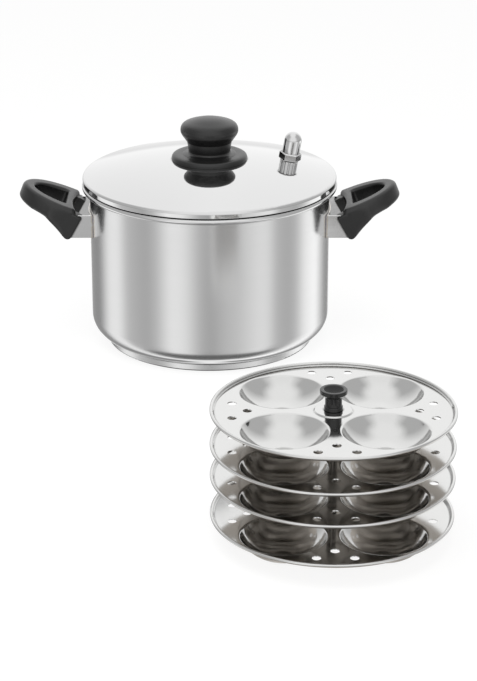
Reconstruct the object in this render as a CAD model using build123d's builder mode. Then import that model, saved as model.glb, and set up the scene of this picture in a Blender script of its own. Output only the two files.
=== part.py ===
from build123d import *

import math
import os

# Idli steamer: a lidded steel pot with two bakelite grips and a lift-off steam weight,
# and beside it the rack of four idli plates that goes into the pot.
# Millimetres. The origin is the centre of the pot's base on the floor, +Z is up,
# the two grips lie along X, and the front is towards -Y.

os.makedirs("parts", exist_ok=True)

# Gaps that several pieces share
cut_overrun = 5.0
seat_gap = 0.3        # between faces of pieces that part from each other
fixed_gap = 0.1       # around a piece that is held in a pocket
running_gap = 0.08    # around the rod in a hole that turns on it
thread_gap = 0.05     # around a thread, drawn as a plain cylinder

# Pot: one drawn steel sheet
pot_diameter = 220.0
pot_height = 150.4
pot_wall = 1.0
pot_corner_radius = 19.0
rim_bead_radius = 2.6
rim_overhang = 7.1    # how far the rolled rim stands out past the wall

# Base: an aluminium disc under the pot, closed by a steel cap
base_diameter = 191.0
base_cap_sheet = 0.8
base_core_height = 5.7
base_edge_radius = 1.8

# Handle brackets: one bent strip each, welded under the rim
bracket_sheet = 1.5
bracket_width = 60.0
bracket_height = 21.0
bracket_drop = 24.4   # from the pot's rim down to the bracket
bracket_reach = 21.5  # arm ends, measured out from the pot's wall
bracket_bend_radius = 3.0
bracket_toe_cut = 3.5

# Grips: a bakelite ring that rises outwards, on two legs that hold the bracket's arms
grip_stand_off = 8.8  # from the pot's wall to the ring's near corners
grip_rise = 4.4       # from the bracket's top up to the ring's near corners
grip_slope = 21.5
grip_length = 55.0
grip_width = 65.0
grip_depth = 19.5     # near the pot
grip_end_depth = 14.5
grip_round_length = 43.0
grip_hollow = 6.1     # how far the near side curves away from the pot
grip_edge_radius = 4.0
grip_under_edge_radius = 3.0
grip_corner_radius = 4.2
hole_setback = 13.1
hole_length = 31.0
hole_width = 38.0
hole_corner_radius = 2.8
hole_edge_radius = 2.6
leg_thickness = 13.0
leg_shoulder_lean = 2.8
leg_shoulder_drop = 6.4
leg_foot_offset = 9.9
leg_foot_drop = 29.4
leg_foot_radius = 4.0
leg_root = 26.0
leg_edge_radius = 1.5

# Grip screws: one through each leg into its arm
grip_screw_radius = 1.75
grip_screw_head_radius = 2.8
grip_screw_head_height = 1.8
grip_screw_offset = 18.2   # out from the pot's wall
grip_screw_rise = 4.6      # above the arm's lower edge

# Lid: one pressed sheet with its edge turned down and in
lid_reach = 6.4       # how far the lid stands out past the pot's wall
lid_sheet = 0.8
lid_crease_inset = 2.6
lid_edge_height = 6.7
lid_edge_flat = 4.1
lid_edge_bulge_share = 0.2
lid_dome_rise = 15.5
lid_hem_width = 5.0
lid_hem_radius = 1.0
inner_ring_sheet = 0.8
inner_ring_depth = 9.0
inner_ring_gap = 0.8
inner_ring_flange = 6.4

# Lid knob: moulded bakelite with a brass insert, screwed on from below
knob_flange_radius = 34.5
knob_flange_edge = 1.3
knob_shoulder_radius = 24.5
knob_shoulder_height = 5.0
knob_waist_radius = 19.0
knob_waist_height = 7.9
knob_neck_radius = 20.4
knob_neck_height = 16.5
knob_lip_radius = 24.2
knob_lip_height = 22.0
knob_head_radius = 26.35
knob_head_height = 27.5
knob_head_rise = 11.1
insert_radius = 4.5
insert_length = 14.0
knob_screw_radius = 2.5
knob_screw_length = 12.0
knob_screw_head_radius = 4.6
knob_screw_head_height = 2.6
knob_washer_radius = 8.0
knob_washer_sheet = 1.0

# Steam vent on the lid, square to the dome
vent_reach = 75.0     # from the lid's centre
vent_turn = -20.3
vent_base_radius = 8.2
vent_base_height = 12.3
vent_flute_count = 12
vent_flute_radius = 1.3
vent_shank_radius = 5.0
vent_shank_length = 9.0
vent_bore_radius = 1.25
vent_nipple_radius = 3.0
vent_nipple_height = 13.0
vent_cone_height = 3.0
vent_cone_top_radius = 1.9
gasket_radius = 9.0
gasket_thickness = 1.5
vent_nut_flats = 14.0
vent_nut_height = 4.0

# Steam weight: a bullet-shaped cap in a hexagonal collar, lifted by the steam
weight_gap = 0.35     # around the nipple
collar_corner_radius = 10.0
collar_height = 7.2
collar_chamfer = 0.9
collar_bore_radius = 5.6
cap_radius = 7.8
cap_height = 19.0
cap_bore_depth = 16.0

# Rack: four pressed plates on one rod, standing beside the pot
rack_x = 97.65
rack_y = -425.96
plate_sheet = 0.8
plate_margin = 5.67        # from the cavities out to the plate's edge
plate_rim_width = 3.4
plate_bead_radius = 1.3
plate_bead_rise = 1.6      # of the rolled edge's centre above the plate
cavity_diameter = 68.6
cavity_depth = 16.6
cavity_gap = 6.4
cavity_flat_radius = 5.0
cavity_lip_radius = 2.2
boss_radius = 14.0
boss_height = 1.0
steam_hole_radius = 3.5
steam_hole_inset = 28.5    # from the plate's edge
steam_pair_inset = 17.0
steam_pair_width = 28.0
rack_gap_low = 31.5        # from the lowest plate to the next
rack_gap_middle = 25.4
rack_gap_high = 27.9
rod_radius = 2.5
spacer_radius = 3.5
rod_nut_flats = 9.0
rod_nut_height = 4.0
rod_nut_chamfer = 0.6
rod_washer_radius = 6.5
rod_washer_sheet = 1.0
rod_end_length = 1.5

# Rack knob: black moulded nut with a dished head, on a loose collar
rack_collar_radius = 7.1
rack_collar_height = 3.2
rack_knob_radius = 6.4
rack_knob_height = 13.1
rack_head_radius = 10.4
rack_head_height = 3.0
rack_head_taper = 3.2
rack_dish_radius = 8.0
rack_dish_depth = 2.2
rack_insert_radius = 4.0
rack_insert_length = 9.0
rack_rod_entry = 8.5

# Places worked out from the sizes above
half_turn = 180
pot_radius = pot_diameter / 2
pot_inner_radius = pot_radius - pot_wall
base_radius = base_diameter / 2
base_height = base_cap_sheet + base_core_height
bead_centre_radius = pot_radius + rim_overhang - rim_bead_radius
bead_centre_height = pot_height - rim_bead_radius
flare_radius = bead_centre_radius - pot_inner_radius
flare_height = pot_height - flare_radius

lid_radius = pot_radius + lid_reach
lid_low = pot_height + seat_gap
lid_crease_radius = lid_radius - lid_crease_inset
lid_crease_height = lid_low + lid_edge_height
lid_top = lid_crease_height + lid_dome_rise
dome_radius = (lid_crease_radius**2 + lid_dome_rise**2) / (2 * lid_dome_rise)
dome_centre = lid_top - dome_radius

bracket_low = pot_height - bracket_drop - bracket_height
grip_low = bracket_low + bracket_height + grip_rise

cavity_radius = cavity_diameter / 2
cavity_step = cavity_diameter + cavity_gap
plate_radius = cavity_step / math.sqrt(2) + cavity_radius + plate_margin
plate_steps = [rack_gap_low, rack_gap_middle, rack_gap_high]
plate_heights = [cavity_depth + plate_sheet]
for step in plate_steps:
    plate_heights.append(plate_heights[-1] + step)


def dome_height(radius, drop=0):
    """Height of the lid's outer face at a radius, or of the face that lies drop under it."""
    return dome_centre + math.sqrt((dome_radius - drop) ** 2 - radius**2)


# Pot body: base, wall, flared mouth and rolled rim
with BuildPart() as pot_body:
    with BuildSketch(Plane.XZ):
        with BuildLine():
            flat_radius = pot_radius - pot_corner_radius
            corner_height = base_height + pot_corner_radius
            Line((0, base_height), (flat_radius, base_height))
            CenterArc((flat_radius, corner_height), pot_corner_radius, 270, 90)
            Line((pot_radius, corner_height), (pot_radius, flare_height))
            CenterArc((bead_centre_radius, flare_height), flare_radius - pot_wall, 180, -90)
            Line((bead_centre_radius, pot_height - pot_wall), (bead_centre_radius, pot_height))
            CenterArc((bead_centre_radius, flare_height), flare_radius, 90, 90)
            Line((pot_inner_radius, flare_height), (pot_inner_radius, corner_height))
            CenterArc((flat_radius, corner_height), pot_corner_radius - pot_wall, 0, -90)
            Line((flat_radius, base_height + pot_wall), (0, base_height + pot_wall))
            Line((0, base_height + pot_wall), (0, base_height))
        make_face()
        with Locations((bead_centre_radius, bead_centre_height)):
            Circle(rim_bead_radius)
    revolve(axis=Axis.Z)
pot_body.part.label = "pot_body"
export_step(pot_body.part, "parts/pot_body.step")

# Aluminium core of the base
core_radius = base_radius - base_cap_sheet
core_edge_radius = base_edge_radius - base_cap_sheet
with BuildPart() as base_core:
    with BuildSketch(Plane.XZ):
        with BuildLine():
            Line((0, base_cap_sheet), (core_radius - core_edge_radius, base_cap_sheet))
            CenterArc((core_radius - core_edge_radius, base_edge_radius), core_edge_radius, 270, 90)
            Line((core_radius, base_edge_radius), (core_radius, base_height))
            Line((core_radius, base_height), (0, base_height))
            Line((0, base_height), (0, base_cap_sheet))
        make_face()
    revolve(axis=Axis.Z)
base_core.part.label = "base_core"
export_step(base_core.part, "parts/base_core.step")

# Steel cap that wraps the core
with BuildPart() as base_cap:
    with BuildSketch(Plane.XZ):
        with BuildLine():
            edge_start = core_radius - core_edge_radius
            Line((0, 0), (edge_start, 0))
            CenterArc((edge_start, base_edge_radius), base_edge_radius, 270, 90)
            Line((base_radius, base_edge_radius), (base_radius, base_height))
            Line((base_radius, base_height), (core_radius, base_height))
            Line((core_radius, base_height), (core_radius, base_edge_radius))
            CenterArc((edge_start, base_edge_radius), core_edge_radius, 0, -90)
            Line((edge_start, base_cap_sheet), (0, base_cap_sheet))
            Line((0, base_cap_sheet), (0, 0))
        make_face()
    revolve(axis=Axis.Z)
base_cap.part.label = "base_cap"
export_step(base_cap.part, "parts/base_cap.step")

# Bracket on the right: a saddle on the wall and two arms with a threaded hole each
saddle_radius = pot_radius + bracket_sheet
arm_end = pot_radius + bracket_reach
arm_root = math.sqrt(pot_radius**2 - (bracket_width / 2) ** 2)
arm_middle = (bracket_width - bracket_sheet) / 2
arm_length = arm_end - arm_root
arm_centre = (arm_root + arm_end) / 2
screw_x = pot_radius + grip_screw_offset
screw_z = bracket_low + grip_screw_rise
with BuildPart() as bracket_right:
    with BuildSketch(Plane.XY.offset(bracket_low)):
        Circle(saddle_radius)
        with Locations((arm_centre, 0)):
            Rectangle(arm_length, bracket_width, mode=Mode.INTERSECT)
        with Locations((arm_centre, arm_middle), (arm_centre, -arm_middle)):
            Rectangle(arm_length, bracket_sheet)
        Circle(pot_radius, mode=Mode.SUBTRACT)
    extrude(amount=bracket_height)
    upright_edges = bracket_right.edges().filter_by(Axis.Z)
    inner_bends = upright_edges.filter_by(lambda edge: edge.center().X < pot_radius).filter_by(
        lambda edge: arm_middle - bracket_sheet < abs(edge.center().Y) < arm_middle
    )
    fillet(inner_bends, bracket_bend_radius)
    toes = bracket_right.edges().filter_by(Axis.Y).filter_by(
        lambda edge: edge.center().X > screw_x and edge.center().Z < screw_z
    )
    chamfer(toes, bracket_toe_cut)
    with BuildSketch(Plane.XZ):
        with Locations((screw_x, screw_z)):
            Circle(grip_screw_radius + thread_gap)
    extrude(amount=bracket_width, both=True, mode=Mode.SUBTRACT)
bracket_right.part.label = "bracket_right"
export_step(bracket_right.part, "parts/bracket_right.step")

bracket_left = mirror(bracket_right.part, about=Plane.YZ)
bracket_left.label = "bracket_left"
export_step(bracket_left, "parts/bracket_left.step")

# Grip on the right, drawn on the sloping top face of its ring
slope = math.radians(grip_slope)
grip_corner_x = pot_radius + grip_stand_off
grip_plane = Plane(
    origin=(grip_corner_x, 0, grip_low),
    x_dir=(math.cos(slope), 0, math.sin(slope)),
    z_dir=(-math.sin(slope), 0, math.cos(slope)),
)
half_width = grip_width / 2
round_start = grip_length - grip_round_length
grip_taper_share = (grip_depth - grip_end_depth) / grip_length


def beside_grip(along, below):
    """Side view place (x, z) of a point along the ring's top face and below it."""
    x = grip_corner_x + along * math.cos(slope) + below * math.sin(slope)
    z = grip_low + along * math.sin(slope) - below * math.cos(slope)
    return (x, z)


def on_underside(along):
    """Side view place of a point on the ring's underside, which rises towards the far end."""
    return beside_grip(along, grip_depth - grip_taper_share * along)


with BuildPart() as grip_ring:
    with BuildSketch(grip_plane):
        with BuildLine():
            ThreePointArc((0, -half_width), (grip_hollow, 0), (0, half_width))
            Line((0, half_width), (round_start, half_width))
            EllipticalCenterArc((round_start, 0), grip_round_length, half_width, 270, arc_size=half_turn)
            Line((round_start, -half_width), (0, -half_width))
        make_face()
        fillet(vertices().sort_by(Axis.X)[:2], grip_corner_radius)
    extrude(amount=-grip_depth)
    with BuildSketch(Plane.XZ):
        with BuildLine():
            Polyline(
                on_underside(-cut_overrun),
                on_underside(grip_length + cut_overrun),
                beside_grip(grip_length + cut_overrun, grip_depth + cut_overrun),
                beside_grip(-cut_overrun, grip_depth + cut_overrun),
                close=True,
            )
        make_face()
    extrude(amount=grip_width, both=True, mode=Mode.SUBTRACT)
    fillet(grip_ring.faces().filter_by(grip_plane).edges(), grip_edge_radius)
    underside = grip_ring.faces().sort_by(Axis(grip_plane.origin, grip_plane.z_dir))[0]
    fillet(underside.edges(), grip_under_edge_radius)
    with BuildSketch(grip_plane.offset(cut_overrun)):
        with BuildLine():
            Line((hole_setback, -hole_width / 2), (hole_setback, hole_width / 2))
            EllipticalCenterArc((hole_setback, 0), hole_length, hole_width / 2, 270, arc_size=half_turn)
        make_face()
        fillet(vertices(), hole_corner_radius)
    extrude(amount=-grip_depth - 2 * cut_overrun, mode=Mode.SUBTRACT)
    hole_edges = [face.inner_wires()[0].edges() for face in grip_ring.faces() if face.inner_wires()]
    fillet(ShapeList(hole_edges[0] + hole_edges[1]), hole_edge_radius)

# The two legs: a side outline, kept inside the ring's outline
leg_shoulder = (grip_corner_x - leg_shoulder_lean, grip_low - leg_shoulder_drop)
leg_foot = (grip_corner_x + leg_foot_offset, grip_low - leg_foot_drop)
with BuildPart() as grip_legs:
    with BuildSketch(Plane.XZ.offset(-half_width)):
        with BuildLine():
            Polyline(
                beside_grip(grip_edge_radius, grip_edge_radius),
                beside_grip(0, grip_edge_radius),
                leg_shoulder,
                leg_foot,
                on_underside(leg_root),
                beside_grip(leg_root, grip_edge_radius),
                close=True,
            )
        make_face()
        foot_corner = vertices().sort_by(Axis.Y)[0]
        fillet(foot_corner, leg_foot_radius)
    extrude(amount=leg_thickness)
    side_edges = grip_legs.faces().filter_by(Axis.Y).edges()
    fillet(side_edges, leg_edge_radius)
    mirror(about=Plane.XZ)

# Pockets for the arms and holes for the screws
with BuildPart() as grip_right:
    add(grip_ring.part)
    add(grip_legs.part)
    pocket_width = bracket_sheet + 2 * fixed_gap
    with BuildSketch(Plane.XY.offset(bracket_low - fixed_gap)):
        with Locations((pot_radius, arm_middle), (pot_radius, -arm_middle)):
            Rectangle(2 * (bracket_reach + fixed_gap), pocket_width)
    extrude(amount=bracket_height + 2 * fixed_gap, mode=Mode.SUBTRACT)
    with BuildSketch(Plane.XZ):
        with Locations((screw_x, screw_z)):
            Circle(grip_screw_radius + fixed_gap)
    extrude(amount=arm_middle, both=True, mode=Mode.SUBTRACT)
grip_right.part.label = "grip_right"
export_step(grip_right.part, "parts/grip_right.step")

grip_left = mirror(grip_right.part, about=Plane.YZ)
grip_left.label = "grip_left"
export_step(grip_left, "parts/grip_left.step")

# Grip screws: pan heads on the legs' inner faces, shanks through to the arms
leg_inner_face = half_width - leg_thickness
with BuildPart() as grip_screws_right:
    with BuildSketch(Plane.XZ.offset(leg_inner_face)):
        with Locations((screw_x, screw_z)):
            Circle(grip_screw_radius)
    extrude(amount=bracket_width / 2 - leg_inner_face)
    with BuildSketch(Plane.XZ.offset(leg_inner_face - grip_screw_head_height)):
        with Locations((screw_x, screw_z)):
            Circle(grip_screw_head_radius)
    extrude(amount=grip_screw_head_height)
    mirror(about=Plane.XZ)
grip_screws_right.part.label = "grip_screws_right"
export_step(grip_screws_right.part, "parts/grip_screws_right.step")

grip_screws_left = mirror(grip_screws_right.part, about=Plane.YZ)
grip_screws_left.label = "grip_screws_left"
export_step(grip_screws_left, "parts/grip_screws_left.step")

# Place and direction of the steam vent, square to the dome
vent_x = vent_reach * math.cos(math.radians(vent_turn))
vent_y = vent_reach * math.sin(math.radians(vent_turn))
vent_z = dome_height(vent_reach)
vent_axis = Vector(vent_x, vent_y, vent_z - dome_centre).normalized()
vent_plane = Plane(origin=(vent_x, vent_y, vent_z), z_dir=vent_axis)

# Lid sheet: dome, turned-down edge and hem, with holes for the knob and the vent
edge_start_height = lid_low + lid_edge_flat
inner_crease_radius = lid_crease_radius - lid_sheet * lid_crease_radius / dome_radius
inner_crease_height = dome_height(inner_crease_radius, lid_sheet)
inner_edge_radius = lid_radius - lid_sheet


def edge_bulge(start, end, share):
    """Middle point of an edge arc that stands out from the straight line by a share of its length."""
    across = end[0] - start[0]
    down = start[1] - end[1]
    return ((start[0] + end[0]) / 2 + share * down, (start[1] + end[1]) / 2 + share * across)


with BuildPart() as lid_shell:
    with BuildSketch(Plane.XZ):
        with BuildLine():
            crease = (lid_crease_radius, lid_crease_height)
            edge_start = (lid_radius, edge_start_height)
            inner_crease = (inner_crease_radius, inner_crease_height)
            inner_edge = (inner_edge_radius, edge_start_height)
            bend_start = (lid_radius, lid_low + lid_hem_radius)
            bend_end = (lid_radius - lid_hem_radius, lid_low)
            hem_inner_radius = lid_radius - lid_hem_width
            half_crease = lid_crease_radius / 2
            half_inner_crease = inner_crease_radius / 2
            ThreePointArc((0, lid_top), (half_crease, dome_height(half_crease)), crease)
            ThreePointArc(crease, edge_bulge(crease, edge_start, lid_edge_bulge_share), edge_start)
            Line(edge_start, bend_start)
            RadiusArc(bend_start, bend_end, lid_hem_radius)
            Line(bend_end, (hem_inner_radius, lid_low))
            Line((hem_inner_radius, lid_low), (hem_inner_radius, lid_low + lid_sheet))
            Line((hem_inner_radius, lid_low + lid_sheet), (inner_edge_radius, lid_low + lid_sheet))
            Line((inner_edge_radius, lid_low + lid_sheet), inner_edge)
            ThreePointArc(
                inner_edge,
                edge_bulge(inner_crease, inner_edge, lid_edge_bulge_share),
                inner_crease,
            )
            ThreePointArc(
                inner_crease,
                (half_inner_crease, dome_height(half_inner_crease, lid_sheet)),
                (0, lid_top - lid_sheet),
            )
            Line((0, lid_top - lid_sheet), (0, lid_top))
        make_face()
    revolve(axis=Axis.Z)
    with BuildSketch(Plane.XY.offset(lid_top - cut_overrun)):
        Circle(knob_screw_radius + fixed_gap)
    extrude(amount=2 * cut_overrun, mode=Mode.SUBTRACT)
    with BuildSketch(vent_plane.offset(-cut_overrun)):
        Circle(vent_shank_radius + fixed_gap)
    extrude(amount=2 * cut_overrun, mode=Mode.SUBTRACT)
lid_shell.part.label = "lid_shell"
export_step(lid_shell.part, "parts/lid_shell.step")

# Ring welded inside the lid: its flange lies on the hem, its wall drops into the pot's mouth
ring_outer_radius = pot_inner_radius - inner_ring_gap
ring_seat = lid_low + lid_sheet
with BuildPart() as lid_inner_ring:
    with BuildSketch(Plane.XZ):
        with BuildLine():
            Polyline(
                (ring_outer_radius - inner_ring_sheet, lid_low - inner_ring_depth),
                (ring_outer_radius, lid_low - inner_ring_depth),
                (ring_outer_radius, ring_seat),
                (ring_outer_radius + inner_ring_flange, ring_seat),
                (ring_outer_radius + inner_ring_flange, ring_seat + inner_ring_sheet),
                (ring_outer_radius - inner_ring_sheet, ring_seat + inner_ring_sheet),
                close=True,
            )
        make_face()
    revolve(axis=Axis.Z)
lid_inner_ring.part.label = "lid_inner_ring"
export_step(lid_inner_ring.part, "parts/lid_inner_ring.step")

# Lid knob: flange on the dome, waist, overhanging head and a blind hole for the insert
knob_seat = dome_height(0)
knob_foot = dome_height(knob_flange_radius)
with BuildPart() as lid_knob:
    with BuildSketch(Plane.XZ):
        with BuildLine():
            half_flange = knob_flange_radius / 2
            pocket_radius = insert_radius + thread_gap
            pocket_foot = (pocket_radius, dome_height(pocket_radius))
            pocket_top = knob_seat + insert_length
            flange_top = (knob_flange_radius, knob_foot + knob_flange_edge)
            shoulder = (knob_shoulder_radius, knob_foot + knob_shoulder_height)
            waist = (knob_waist_radius, knob_foot + knob_waist_height)
            neck = (knob_neck_radius, knob_foot + knob_neck_height)
            lip = (knob_lip_radius, knob_foot + knob_lip_height)
            head = (knob_head_radius, knob_foot + knob_head_height)
            head_top = (0, knob_foot + knob_head_height + knob_head_rise)
            crown = (knob_head_radius * math.sqrt(1 / 2), head[1] + knob_head_rise * math.sqrt(1 / 2))
            shoulder_slope = (waist[0] - shoulder[0], waist[1] - shoulder[1])
            neck_slope = (lip[0] - neck[0], lip[1] - neck[1])
            ThreePointArc(
                pocket_foot, (half_flange, dome_height(half_flange)), (knob_flange_radius, knob_foot)
            )
            Line((knob_flange_radius, knob_foot), flange_top)
            Spline(flange_top, shoulder, tangents=[(0, 1), (-1, 0)])
            Spline(shoulder, waist, tangents=[shoulder_slope, (0, 1)])
            Line(waist, neck)
            Spline(neck, lip, head, tangents=[neck_slope, (0, 1)])
            Spline(head, crown, head_top, tangents=[(0, 1), (-1, 0)])
            Polyline(head_top, (0, pocket_top), (pocket_radius, pocket_top), pocket_foot)
        make_face()
    revolve(axis=Axis.Z)
lid_knob.part.label = "lid_knob"
export_step(lid_knob.part, "parts/lid_knob.step")

# Brass insert moulded into the knob
with BuildPart() as knob_insert:
    with BuildSketch(Plane.XY.offset(knob_seat)):
        Circle(insert_radius)
        Circle(knob_screw_radius + thread_gap, mode=Mode.SUBTRACT)
    extrude(amount=insert_length)
knob_insert.part.label = "knob_insert"
export_step(knob_insert.part, "parts/knob_insert.step")

# Washer and pan-head screw under the lid
washer_top = dome_height(knob_washer_radius, lid_sheet)
with BuildPart() as knob_washer:
    with BuildSketch(Plane.XY.offset(washer_top - knob_washer_sheet)):
        Circle(knob_washer_radius)
        Circle(knob_screw_radius + fixed_gap, mode=Mode.SUBTRACT)
    extrude(amount=knob_washer_sheet)
knob_washer.part.label = "knob_washer"
export_step(knob_washer.part, "parts/knob_washer.step")

screw_seat = washer_top - knob_washer_sheet
with BuildPart() as knob_screw:
    with BuildSketch(Plane.XY.offset(screw_seat)):
        Circle(knob_screw_radius)
    extrude(amount=knob_screw_length)
    with BuildSketch(Plane.XY.offset(screw_seat - knob_screw_head_height)):
        Circle(knob_screw_head_radius)
    extrude(amount=knob_screw_head_height)
    fillet(knob_screw.edges().group_by(Axis.Z)[0], knob_screw_head_height / 2)
knob_screw.part.label = "knob_screw"
export_step(knob_screw.part, "parts/knob_screw.step")

# Vent stem: fluted base on the lid, threaded shank through it, nipple up into the weight
with BuildPart() as vent_stem:
    with BuildSketch(vent_plane):
        Circle(vent_base_radius)
        with PolarLocations(vent_base_radius + vent_flute_radius / 2, vent_flute_count):
            Circle(vent_flute_radius, mode=Mode.SUBTRACT)
    extrude(amount=vent_base_height)
    with BuildSketch(vent_plane):
        Circle(vent_shank_radius)
    extrude(amount=-vent_shank_length)
    with BuildSketch(vent_plane.offset(vent_base_height)):
        Circle(vent_nipple_radius)
    extrude(amount=vent_nipple_height - vent_cone_height)
    with BuildSketch(vent_plane.offset(vent_base_height + vent_nipple_height - vent_cone_height)):
        Circle(vent_nipple_radius)
    with BuildSketch(vent_plane.offset(vent_base_height + vent_nipple_height)):
        Circle(vent_cone_top_radius)
    loft()
    with BuildSketch(vent_plane.offset(-vent_shank_length - cut_overrun)):
        Circle(vent_bore_radius)
    bore_length = vent_shank_length + vent_base_height + vent_nipple_height + 2 * cut_overrun
    extrude(amount=bore_length, mode=Mode.SUBTRACT)
vent_stem.part.label = "vent_stem"
export_step(vent_stem.part, "parts/vent_stem.step")

# Silicone gasket and steel nut under the lid, the gasket's rim against the dome
inner_dome_radius = dome_radius - lid_sheet
gasket_sag = inner_dome_radius - math.sqrt(inner_dome_radius**2 - gasket_radius**2)
gasket_depth = lid_sheet + gasket_sag
with BuildPart() as vent_gasket:
    with BuildSketch(vent_plane.offset(-gasket_depth)):
        Circle(gasket_radius)
        Circle(vent_shank_radius + thread_gap, mode=Mode.SUBTRACT)
    extrude(amount=-gasket_thickness)
vent_gasket.part.label = "vent_gasket"
export_step(vent_gasket.part, "parts/vent_gasket.step")

with BuildPart() as vent_nut:
    with BuildSketch(vent_plane.offset(-gasket_depth - gasket_thickness)):
        RegularPolygon(vent_nut_flats / 2, 6, major_radius=False)
        Circle(vent_shank_radius + thread_gap, mode=Mode.SUBTRACT)
    extrude(amount=-vent_nut_height)
vent_nut.part.label = "vent_nut"
export_step(vent_nut.part, "parts/vent_nut.step")

# Steam weight: hexagonal collar and the bullet-shaped cap that screws into it
collar_plane = vent_plane.offset(vent_base_height + seat_gap)
with BuildPart() as vent_collar:
    with BuildSketch(collar_plane):
        RegularPolygon(collar_corner_radius, 6)
    extrude(amount=collar_height)
    chamfer(vent_collar.faces().filter_by(collar_plane).edges(), collar_chamfer)
    with BuildSketch(collar_plane.offset(-cut_overrun)):
        Circle(collar_bore_radius)
    extrude(amount=collar_height + 2 * cut_overrun, mode=Mode.SUBTRACT)
vent_collar.part.label = "vent_collar"
export_step(vent_collar.part, "parts/vent_collar.step")

# The cap is turned about the vent's axis, drawn in the plane of the axis and the lid's centre
cap_side_plane = Plane(
    origin=collar_plane.origin,
    x_dir=vent_plane.x_dir,
    z_dir=vent_plane.x_dir.cross(vent_axis),
)
spigot_radius = collar_bore_radius - thread_gap
cap_wall_height = collar_height + cap_height - cap_radius
cap_bore_radius = vent_nipple_radius + weight_gap
with BuildPart() as vent_cap:
    with BuildSketch(cap_side_plane):
        with BuildLine():
            Line((cap_bore_radius, 0), (spigot_radius, 0))
            Line((spigot_radius, 0), (spigot_radius, collar_height))
            Line((spigot_radius, collar_height), (cap_radius, collar_height))
            Line((cap_radius, collar_height), (cap_radius, cap_wall_height))
            CenterArc((0, cap_wall_height), cap_radius, 0, 90)
            Line((0, cap_wall_height + cap_radius), (0, cap_bore_depth))
            Line((0, cap_bore_depth), (cap_bore_radius, cap_bore_depth))
            Line((cap_bore_radius, cap_bore_depth), (cap_bore_radius, 0))
        make_face()
    revolve(axis=Axis(collar_plane.origin, vent_axis))
vent_cap.part.label = "vent_cap"
export_step(vent_cap.part, "parts/vent_cap.step")

# One idli cavity, with its mouth's centre at the origin of the plate's top face:
# a flat floor, a round side, and a rounded lip that meets both the side and the plate smoothly
bowl_reach = cavity_radius - cavity_flat_radius
bowl_rise = cavity_depth - cavity_lip_radius
bowl_radius = (bowl_reach**2 + bowl_rise**2 - cavity_lip_radius**2) / (2 * cavity_depth)
bowl_centre = bowl_radius - cavity_depth
side_lean = math.atan2(bowl_reach, bowl_centre + cavity_lip_radius)


def on_bowl(lean, drop):
    """Point of the round side at an angle from its floor, on the face that lies drop under the food."""
    size = bowl_radius + drop
    return (cavity_flat_radius + size * math.sin(lean), bowl_centre - size * math.cos(lean))


def on_lip(lean, drop):
    """Point of the rounded lip at an angle from the plate, on the face that lies drop under the food."""
    size = cavity_lip_radius - drop
    return (cavity_radius - size * math.sin(lean), size * math.cos(lean) - cavity_lip_radius)


with BuildPart() as cavity:
    with BuildSketch(Plane.XZ):
        with BuildLine():
            food_floor = on_bowl(0, 0)
            food_joint = on_bowl(side_lean, 0)
            under_floor = on_bowl(0, plate_sheet)
            under_joint = on_bowl(side_lean, plate_sheet)
            mouth_radius = cavity_radius + plate_sheet
            Line((0, food_floor[1]), food_floor)
            ThreePointArc(food_floor, on_bowl(side_lean / 2, 0), food_joint)
            ThreePointArc(food_joint, on_lip(side_lean / 2, 0), on_lip(0, 0))
            Polyline(on_lip(0, 0), (mouth_radius, 0), (mouth_radius, -plate_sheet), on_lip(0, plate_sheet))
            ThreePointArc(on_lip(0, plate_sheet), on_lip(side_lean / 2, plate_sheet), under_joint)
            ThreePointArc(under_joint, on_bowl(side_lean / 2, plate_sheet), under_floor)
            Polyline(under_floor, (0, under_floor[1]), (0, food_floor[1]))
        make_face()
    revolve(axis=Axis.Z)

# One idli plate at the rod's foot: sheet, rolled edge, boss, cavities and steam holes
rim_root_radius = plate_radius - plate_rim_width
plate_bead_centre = plate_radius - plate_bead_radius
steam_hole_reach = plate_radius - steam_hole_inset
steam_pair_reach = plate_radius - steam_pair_inset
half_pair = steam_pair_width / 2
boss_hole_radius = rod_radius + running_gap
with BuildPart() as plate:
    with BuildSketch(Plane.XZ):
        with BuildLine():
            Polyline(
                (boss_hole_radius, boss_height),
                (boss_radius, boss_height),
                (boss_radius + boss_height, 0),
                (rim_root_radius, 0),
                (plate_bead_centre - plate_sheet / 2, plate_bead_rise),
                (plate_bead_centre + plate_sheet / 2, plate_bead_rise),
                (rim_root_radius + plate_sheet, -plate_sheet),
                (boss_radius + boss_height - plate_sheet, -plate_sheet),
                (boss_radius - plate_sheet, boss_height - plate_sheet),
                (boss_hole_radius, boss_height - plate_sheet),
                close=True,
            )
        make_face()
        with Locations((plate_bead_centre, plate_bead_rise)):
            Circle(plate_bead_radius)
    revolve(axis=Axis.Z)
    with BuildSketch(Plane.XY.offset(-cut_overrun)):
        with GridLocations(cavity_step, cavity_step, 2, 2):
            Circle(cavity_radius)
        for quarter in range(4):
            with PolarLocations(steam_hole_reach, 1, start_angle=90 * quarter):
                Circle(steam_hole_radius)
            with Locations(Rotation(0, 0, 90 * quarter)):
                with Locations((steam_pair_reach, half_pair), (steam_pair_reach, -half_pair)):
                    Circle(steam_hole_radius)
    extrude(amount=2 * cut_overrun, mode=Mode.SUBTRACT)
    with GridLocations(cavity_step, cavity_step, 2, 2):
        add(cavity.part)

# The four plates on the rod, the lowest standing on its cavities
for number, height in enumerate(plate_heights, start=1):
    idli_plate = Pos(rack_x, rack_y, height) * plate.part
    idli_plate.label = f"idli_plate_{number}"
    export_step(idli_plate, f"parts/idli_plate_{number}.step")

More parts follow.
